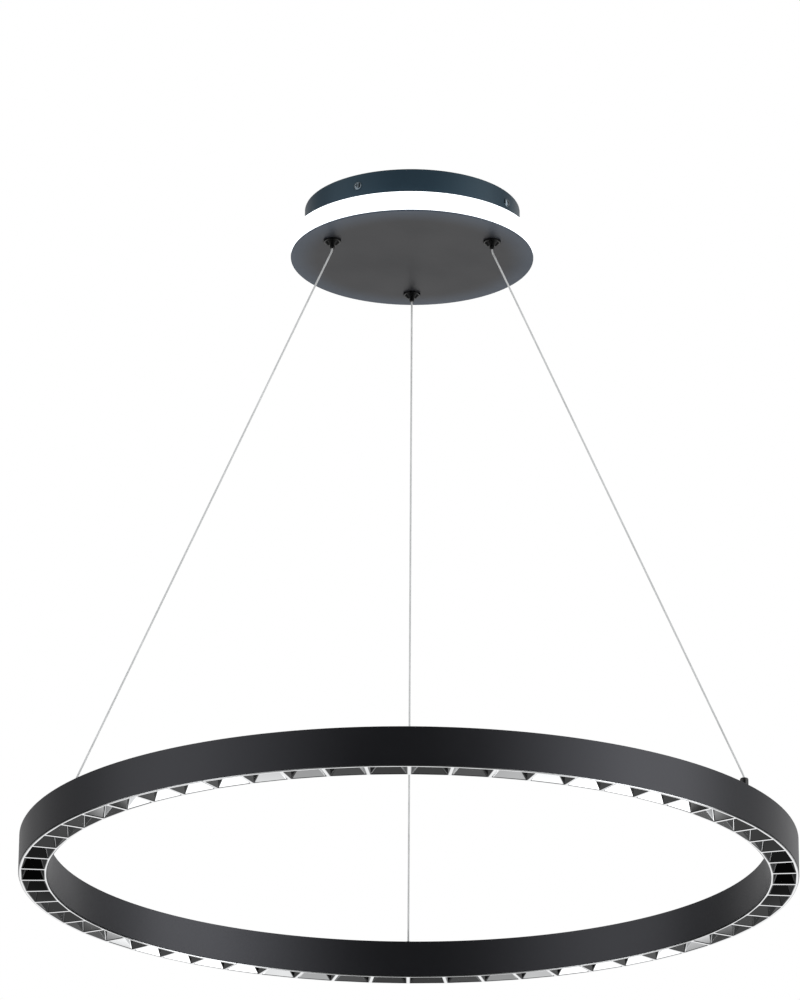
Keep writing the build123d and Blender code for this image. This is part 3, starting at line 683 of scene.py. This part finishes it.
def louvre_cell():
    """Sheet of one cell: rounded rim edges, flat rim, rounded lip and the cup up to its window."""
    rib = 3.6
    lip = 0.7
    mouth_half, window_half = 11.7, 4.8
    tangent = math.tan(half_cell)
    mouth_inner, mouth_outer = ring_middle - mouth_half, ring_middle + mouth_half
    flat_edge = cup_loop(rim_bottom, mouth_inner - lip, mouth_outer + lip,
                         lambda r: r * tangent - rib / 2 + lip, 1.3)
    mouth = cup_loop(rim_bottom, mouth_inner, mouth_outer, lambda r: r * tangent - rib / 2, 0.9)
    window = cup_loop(window_z, ring_middle - window_half, ring_middle + window_half,
                      lambda r: window_half, 0.5)
    wall_start = [m.lerp(w, 0.05) for m, w in zip(mouth, window)]
    loops = [rim_loop(), flat_edge]
    for t in (0.25, 0.5, 0.75):
        loops.append([s * (1 - t) ** 2 + c * 2 * t * (1 - t) + e * t * t
                      for s, c, e in zip(flat_edge, mouth, wall_start)])
    loops += [wall_start, window]
    shape = bmesh.new()
    rows = [[shape.verts.new(point / 1000) for point in loop] for loop in loops]
    for here, there in zip(rows, rows[1:]):
        for index in range(32):
            after = (index + 1) % 32
            shape.faces.new((here[index], here[after], there[after], there[index]))
    for indices, edge, sign in ((range(8, 17), rim_outer, 1), ([*range(24, 32), 0], rim_inner, -1)):
        inner_row = [rows[0][index] for index in indices]
        for bend in (30, 60, 90):
            drop = rim_round * (1 - math.sin(math.radians(bend)))
            rise = rim_round * (1 - math.cos(math.radians(bend)))
            radius = (edge - sign * drop) / 1000
            outer_row = []
            for vertex in inner_row:
                flat = Vector((vertex.co.x, vertex.co.y, 0)).normalized() * radius
                outer_row.append(shape.verts.new((flat.x, flat.y, (rim_bottom + rise) / 1000)))
            for index in range(8):
                shape.faces.new((inner_row[index + 1], inner_row[index],
                                 outer_row[index], outer_row[index + 1]))
            inner_row = outer_row
    shape.normal_update()
    shape.faces.ensure_lookup_table()
    if shape.faces[0].normal.z > 0:
        bmesh.ops.reverse_faces(shape, faces=shape.faces)
    mesh = bpy.data.meshes.new("louvre_cell")
    shape.to_mesh(mesh)
    shape.free()
    return mesh


def thickened(mesh, thickness):
    """Sheet with its thickness laid on behind its faces, in mm."""
    sheet = bpy.data.objects.new("sheet", mesh)
    bpy.context.scene.collection.objects.link(sheet)
    modifier = sheet.modifiers.new("wall", "SOLIDIFY")
    modifier.thickness = thickness / 1000
    modifier.offset = -1
    made = bpy.data.meshes.new_from_object(sheet.evaluated_get(bpy.context.evaluated_depsgraph_get()))
    bpy.data.objects.remove(sheet)
    return made


hook_reach = 12.2


def snap_hooks():
    """Pair of upright hooks with barbs that click over the channel's ribs."""
    shape = bmesh.new()
    for sign in (-1, 1):
        root = ring_middle + sign * hook_reach
        for offset, low, high, depth in ((0, profile_bottom - 0.1, snap_high + 1.5, 0.9),
                                         (sign * 0.75, snap_high + 0.1, snap_high + 1.2, 0.8)):
            block = rounded_box("hook", depth, 3.0, low, high, 0.15)
            block.transform(Matrix.Translation(((root + offset) / 1000, 0, 0)))
            shape.from_mesh(block)
            bpy.data.meshes.remove(block)
    mesh = bpy.data.meshes.new("snap_hooks")
    shape.to_mesh(mesh)
    shape.free()
    return mesh


cell = louvre_cell()
hooks = snap_hooks()
joint_gap = 0.03
for tray in range(6):
    start = 60 * tray
    name = f"louvre_cups_{tray + 1}"
    first_cell = start + joint_gap + math.degrees(half_cell)
    cups = thickened(copied(name, cell, 10, first_cell, cell_step, reflector), tray_sheet)
    whole = bmesh.new()
    whole.from_mesh(cups)
    whole.from_mesh(copied(name + "_hooks", hooks, 3, start + 12, 18, reflector))
    whole.to_mesh(cups)
    whole.free()
    cups.name = name
    piece(name, cups, reflector, "ring", "reflector_bright", f"louvre_tray_{tray + 1}", sharp=40)

# ------------------------------------------------------------------ wire anchors and feed gland
# Black turned anchors screwed into the blocks through the cover. The right one is a tall gland,
# because its wire also carries the ring's supply down to the boards.

gland_black = surface("Black nylon, turned", "#121213", 0.34, grain=0.6, depth=0.006)
cover_top = level("ring_top_cover", 1)
stem_end = web_top + 4.0
stem_radius = 3.0
anchor_bore = 1.25
anchor_tops = {"back": ring_top + 3.5, "left": ring_top + 3.5, "right": ring_top + 14.0}
for name, node, chosen, collar, neck in (
        ("low_anchors", "wire_anchors", ("back", "left"), 4.2, 3.0),
        ("tall_gland", "feed_gland", ("right",), 4.25, 3.6)):
    top = anchor_tops[chosen[0]]
    anchor_outline = outline([
        (anchor_bore, stem_end), (stem_radius, stem_end), (stem_radius, cover_top),
        (collar, cover_top, 0.2), (collar, top - 1.0, 0.4), (neck, top, 0.25), (1.6, top, 0.15),
        (anchor_bore, top - 0.6),
    ], steps=3)
    both = bmesh.new()
    for side in chosen:
        both.from_mesh(turned("anchor", anchor_outline, 48, anchor_places[side]))
    anchors = bpy.data.meshes.new(name)
    both.to_mesh(anchors)
    both.free()
    piece(name, anchors, gland_black, "ring", "gland_black", node, sharp=25)

# ------------------------------------------------------------------ suspension wires
# Stranded steel wire, 2 mm over its clear sleeve, gripped in the canopy and ferruled in the ring.
# Held taut by the ring's weight, so each is straight between its two short bends.

wire_finish = surface("Steel strand in clear PVC", "#d4d4d2", 0.3, {"Coat Weight": 0.2}, grain=0.5,
                      depth=0.01)
wire_radius = 1.0
bend_z = nipple_bottom - 2.0
near_bend = 7.0
wire_end = web_top + 0.4
for side, azimuth in sides.items():
    top = level(f"suspension_wire_{side}", 1)
    landing = anchor_tops[side] + 1.5
    upper = Vector((gripper_circle, 0, bend_z))
    lower = Vector((ring_middle, 0, landing))
    run = (lower - upper).normalized() * near_bend
    down = Vector((0, 0, -near_bend))
    route = [Vector((gripper_circle, 0, top)), upper - down, upper, upper + run,
             lower - run, lower, lower + down, Vector((ring_middle, 0, wire_end))]
    wire_mesh = tube_along(f"wire_{side}", route, wire_radius, order=3, sides_round=4)
    wire_mesh.transform(at(azimuth))
    wire = piece(f"wire_{side}", wire_mesh, wire_finish, "canopy", "wire_clear", f"suspension_wire_{side}",
                 sharp=60)
    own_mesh(wire)

# ------------------------------------------------------------------ room
# Pale floor far below the ring, a white surround and even soft light. Shiny parts meet a darker
# room with a tall soft panel on each side, the right one brighter, and a dim one behind.

floor_radius = 12.0
floor_level = -7.0
floor_shape = bmesh.new()
bmesh.ops.create_circle(floor_shape, cap_ends=True, segments=128, radius=floor_radius)
floor_mesh = bpy.data.meshes.new("floor")
floor_shape.to_mesh(floor_mesh)
floor_shape.free()
floor_mesh.transform(Matrix.Translation((0, 0, floor_level)))
floor_mesh.materials.append(surface("Pale matt floor", "#f4f3f1", 0.7, grain=3.0, tint=0.01, patch=400))
floor = bpy.data.objects.new("floor", floor_mesh)
bpy.context.scene.collection.objects.link(floor)
floor.visible_glossy = False

world = bpy.data.worlds.new("studio")
bpy.context.scene.world = world
world.use_nodes = True
world.cycles.sampling_method = "NONE"
sky = world.node_tree
sky.nodes.clear()
direction = add(sky, "ShaderNodeTexCoord").outputs["Generated"]
towards = add(sky, "ShaderNodeSeparateXYZ", links={0: direction}).outputs
across = add(sky, "ShaderNodeMath", {"operation": "ABSOLUTE"}, {0: towards["X"]})
front = add(sky, "ShaderNodeMath", {"operation": "MULTIPLY", 1: -1.0}, {0: towards["Y"]})
around = add(sky, "ShaderNodeMath", {"operation": "ARCTAN2"}, {0: across.outputs[0], 1: front.outputs[0]})


def steps_of_grey(name, source, stops):
    """Grey colour ramp over a 0 to 1 value, from (position, grey) stops."""
    ramp = add(sky, "ShaderNodeValToRGB", {"label": name}, {"Fac": source})
    while len(ramp.color_ramp.elements) < len(stops):
        ramp.color_ramp.elements.new(0.5)
    for element, (position, grey) in zip(ramp.color_ramp.elements, stops):
        element.position = position
        element.color = (grey, grey, grey, 1.0)
    return ramp.outputs["Color"]


turn_share = add(sky, "ShaderNodeMath", {"operation": "DIVIDE", 1: math.pi}, {0: around.outputs[0]})
height_share = add(sky, "ShaderNodeMath", {"operation": "MULTIPLY_ADD", 1: 0.5, 2: 0.5}, {0: towards["Z"]})
panels_above = steps_of_grey("front to back, above", turn_share.outputs[0], [
    (0.0, 0.02), (0.12, 0.03), (0.27, 0.65), (0.36, 1.0), (0.50, 0.86),
    (0.57, 0.17), (0.69, 0.15), (0.80, 0.30), (0.94, 0.27), (1.0, 0.42),
])
panels_below = steps_of_grey("front to back, below", turn_share.outputs[0], [
    (0.0, 0.02), (0.12, 0.05), (0.25, 0.4), (0.31, 1.0), (0.53, 1.0),
    (0.58, 0.05), (0.86, 0.04), (0.95, 0.3), (0.97, 0.5), (1.0, 0.5),
])
upward = steps_of_grey("below or above", height_share.outputs[0], [(0.42, 0.0), (0.56, 1.0)])
panels = add(sky, "ShaderNodeMix", {"data_type": "RGBA"},
             {"Factor": upward, 6: panels_below, 7: panels_above})
heights = steps_of_grey("floor to ceiling", height_share.outputs[0], [
    (0.0, 0.02), (0.10, 0.04), (0.18, 1.0), (0.72, 1.0), (0.88, 0.6), (1.0, 0.6),
])
shine = add(sky, "ShaderNodeMix", {"data_type": "RGBA", "blend_type": "MULTIPLY", "Factor": 1.0},
            {6: panels.outputs[2], 7: heights})
middle_strength = 2.0
right_gain = 0.66
strength = add(sky, "ShaderNodeMath", {"operation": "MULTIPLY_ADD", 1: right_gain, 2: middle_strength},
               {0: towards["X"]})
mirrored = add(sky, "ShaderNodeBackground",
               links={"Color": shine.outputs[2], "Strength": strength.outputs[0]})
soft = add(sky, "ShaderNodeBackground", {"Color": (0.95, 0.97, 1.0, 1.0), "Strength": 0.9})
seen = add(sky, "ShaderNodeBackground", {"Color": (1.0, 1.0, 1.0, 1.0), "Strength": 1.0})
ray = add(sky, "ShaderNodeLightPath").outputs
shiny_or_soft = add(sky, "ShaderNodeMixShader",
                    links={0: ray["Is Glossy Ray"], 1: soft.outputs[0], 2: mirrored.outputs[0]})
all_rays = add(sky, "ShaderNodeMixShader",
               links={0: ray["Is Camera Ray"], 1: shiny_or_soft.outputs[0], 2: seen.outputs[0]})
add(sky, "ShaderNodeOutputWorld", links={"Surface": all_rays.outputs[0]})
bpy.context.scene.view_settings.view_transform = "Standard"

long_lens = 189.4
camera_place = (0.0, -5.201, -2.2504)
pan, rise, roll = 0.1244, 20.27, 0.357
camera_data = bpy.data.cameras.new("camera")
camera_data.sensor_fit = "VERTICAL"
camera_data.sensor_height = 36.0
camera_data.lens = long_lens
camera_data.clip_end = 60.0
camera = bpy.data.objects.new("camera", camera_data)
bpy.context.scene.collection.objects.link(camera)
camera.matrix_world = (Matrix.Translation(camera_place) @ Matrix.Rotation(math.radians(pan), 4, "Z")
                       @ Matrix.Rotation(math.radians(90 + rise), 4, "X")
                       @ Matrix.Rotation(math.radians(roll), 4, "Z"))
bpy.context.scene.camera = camera
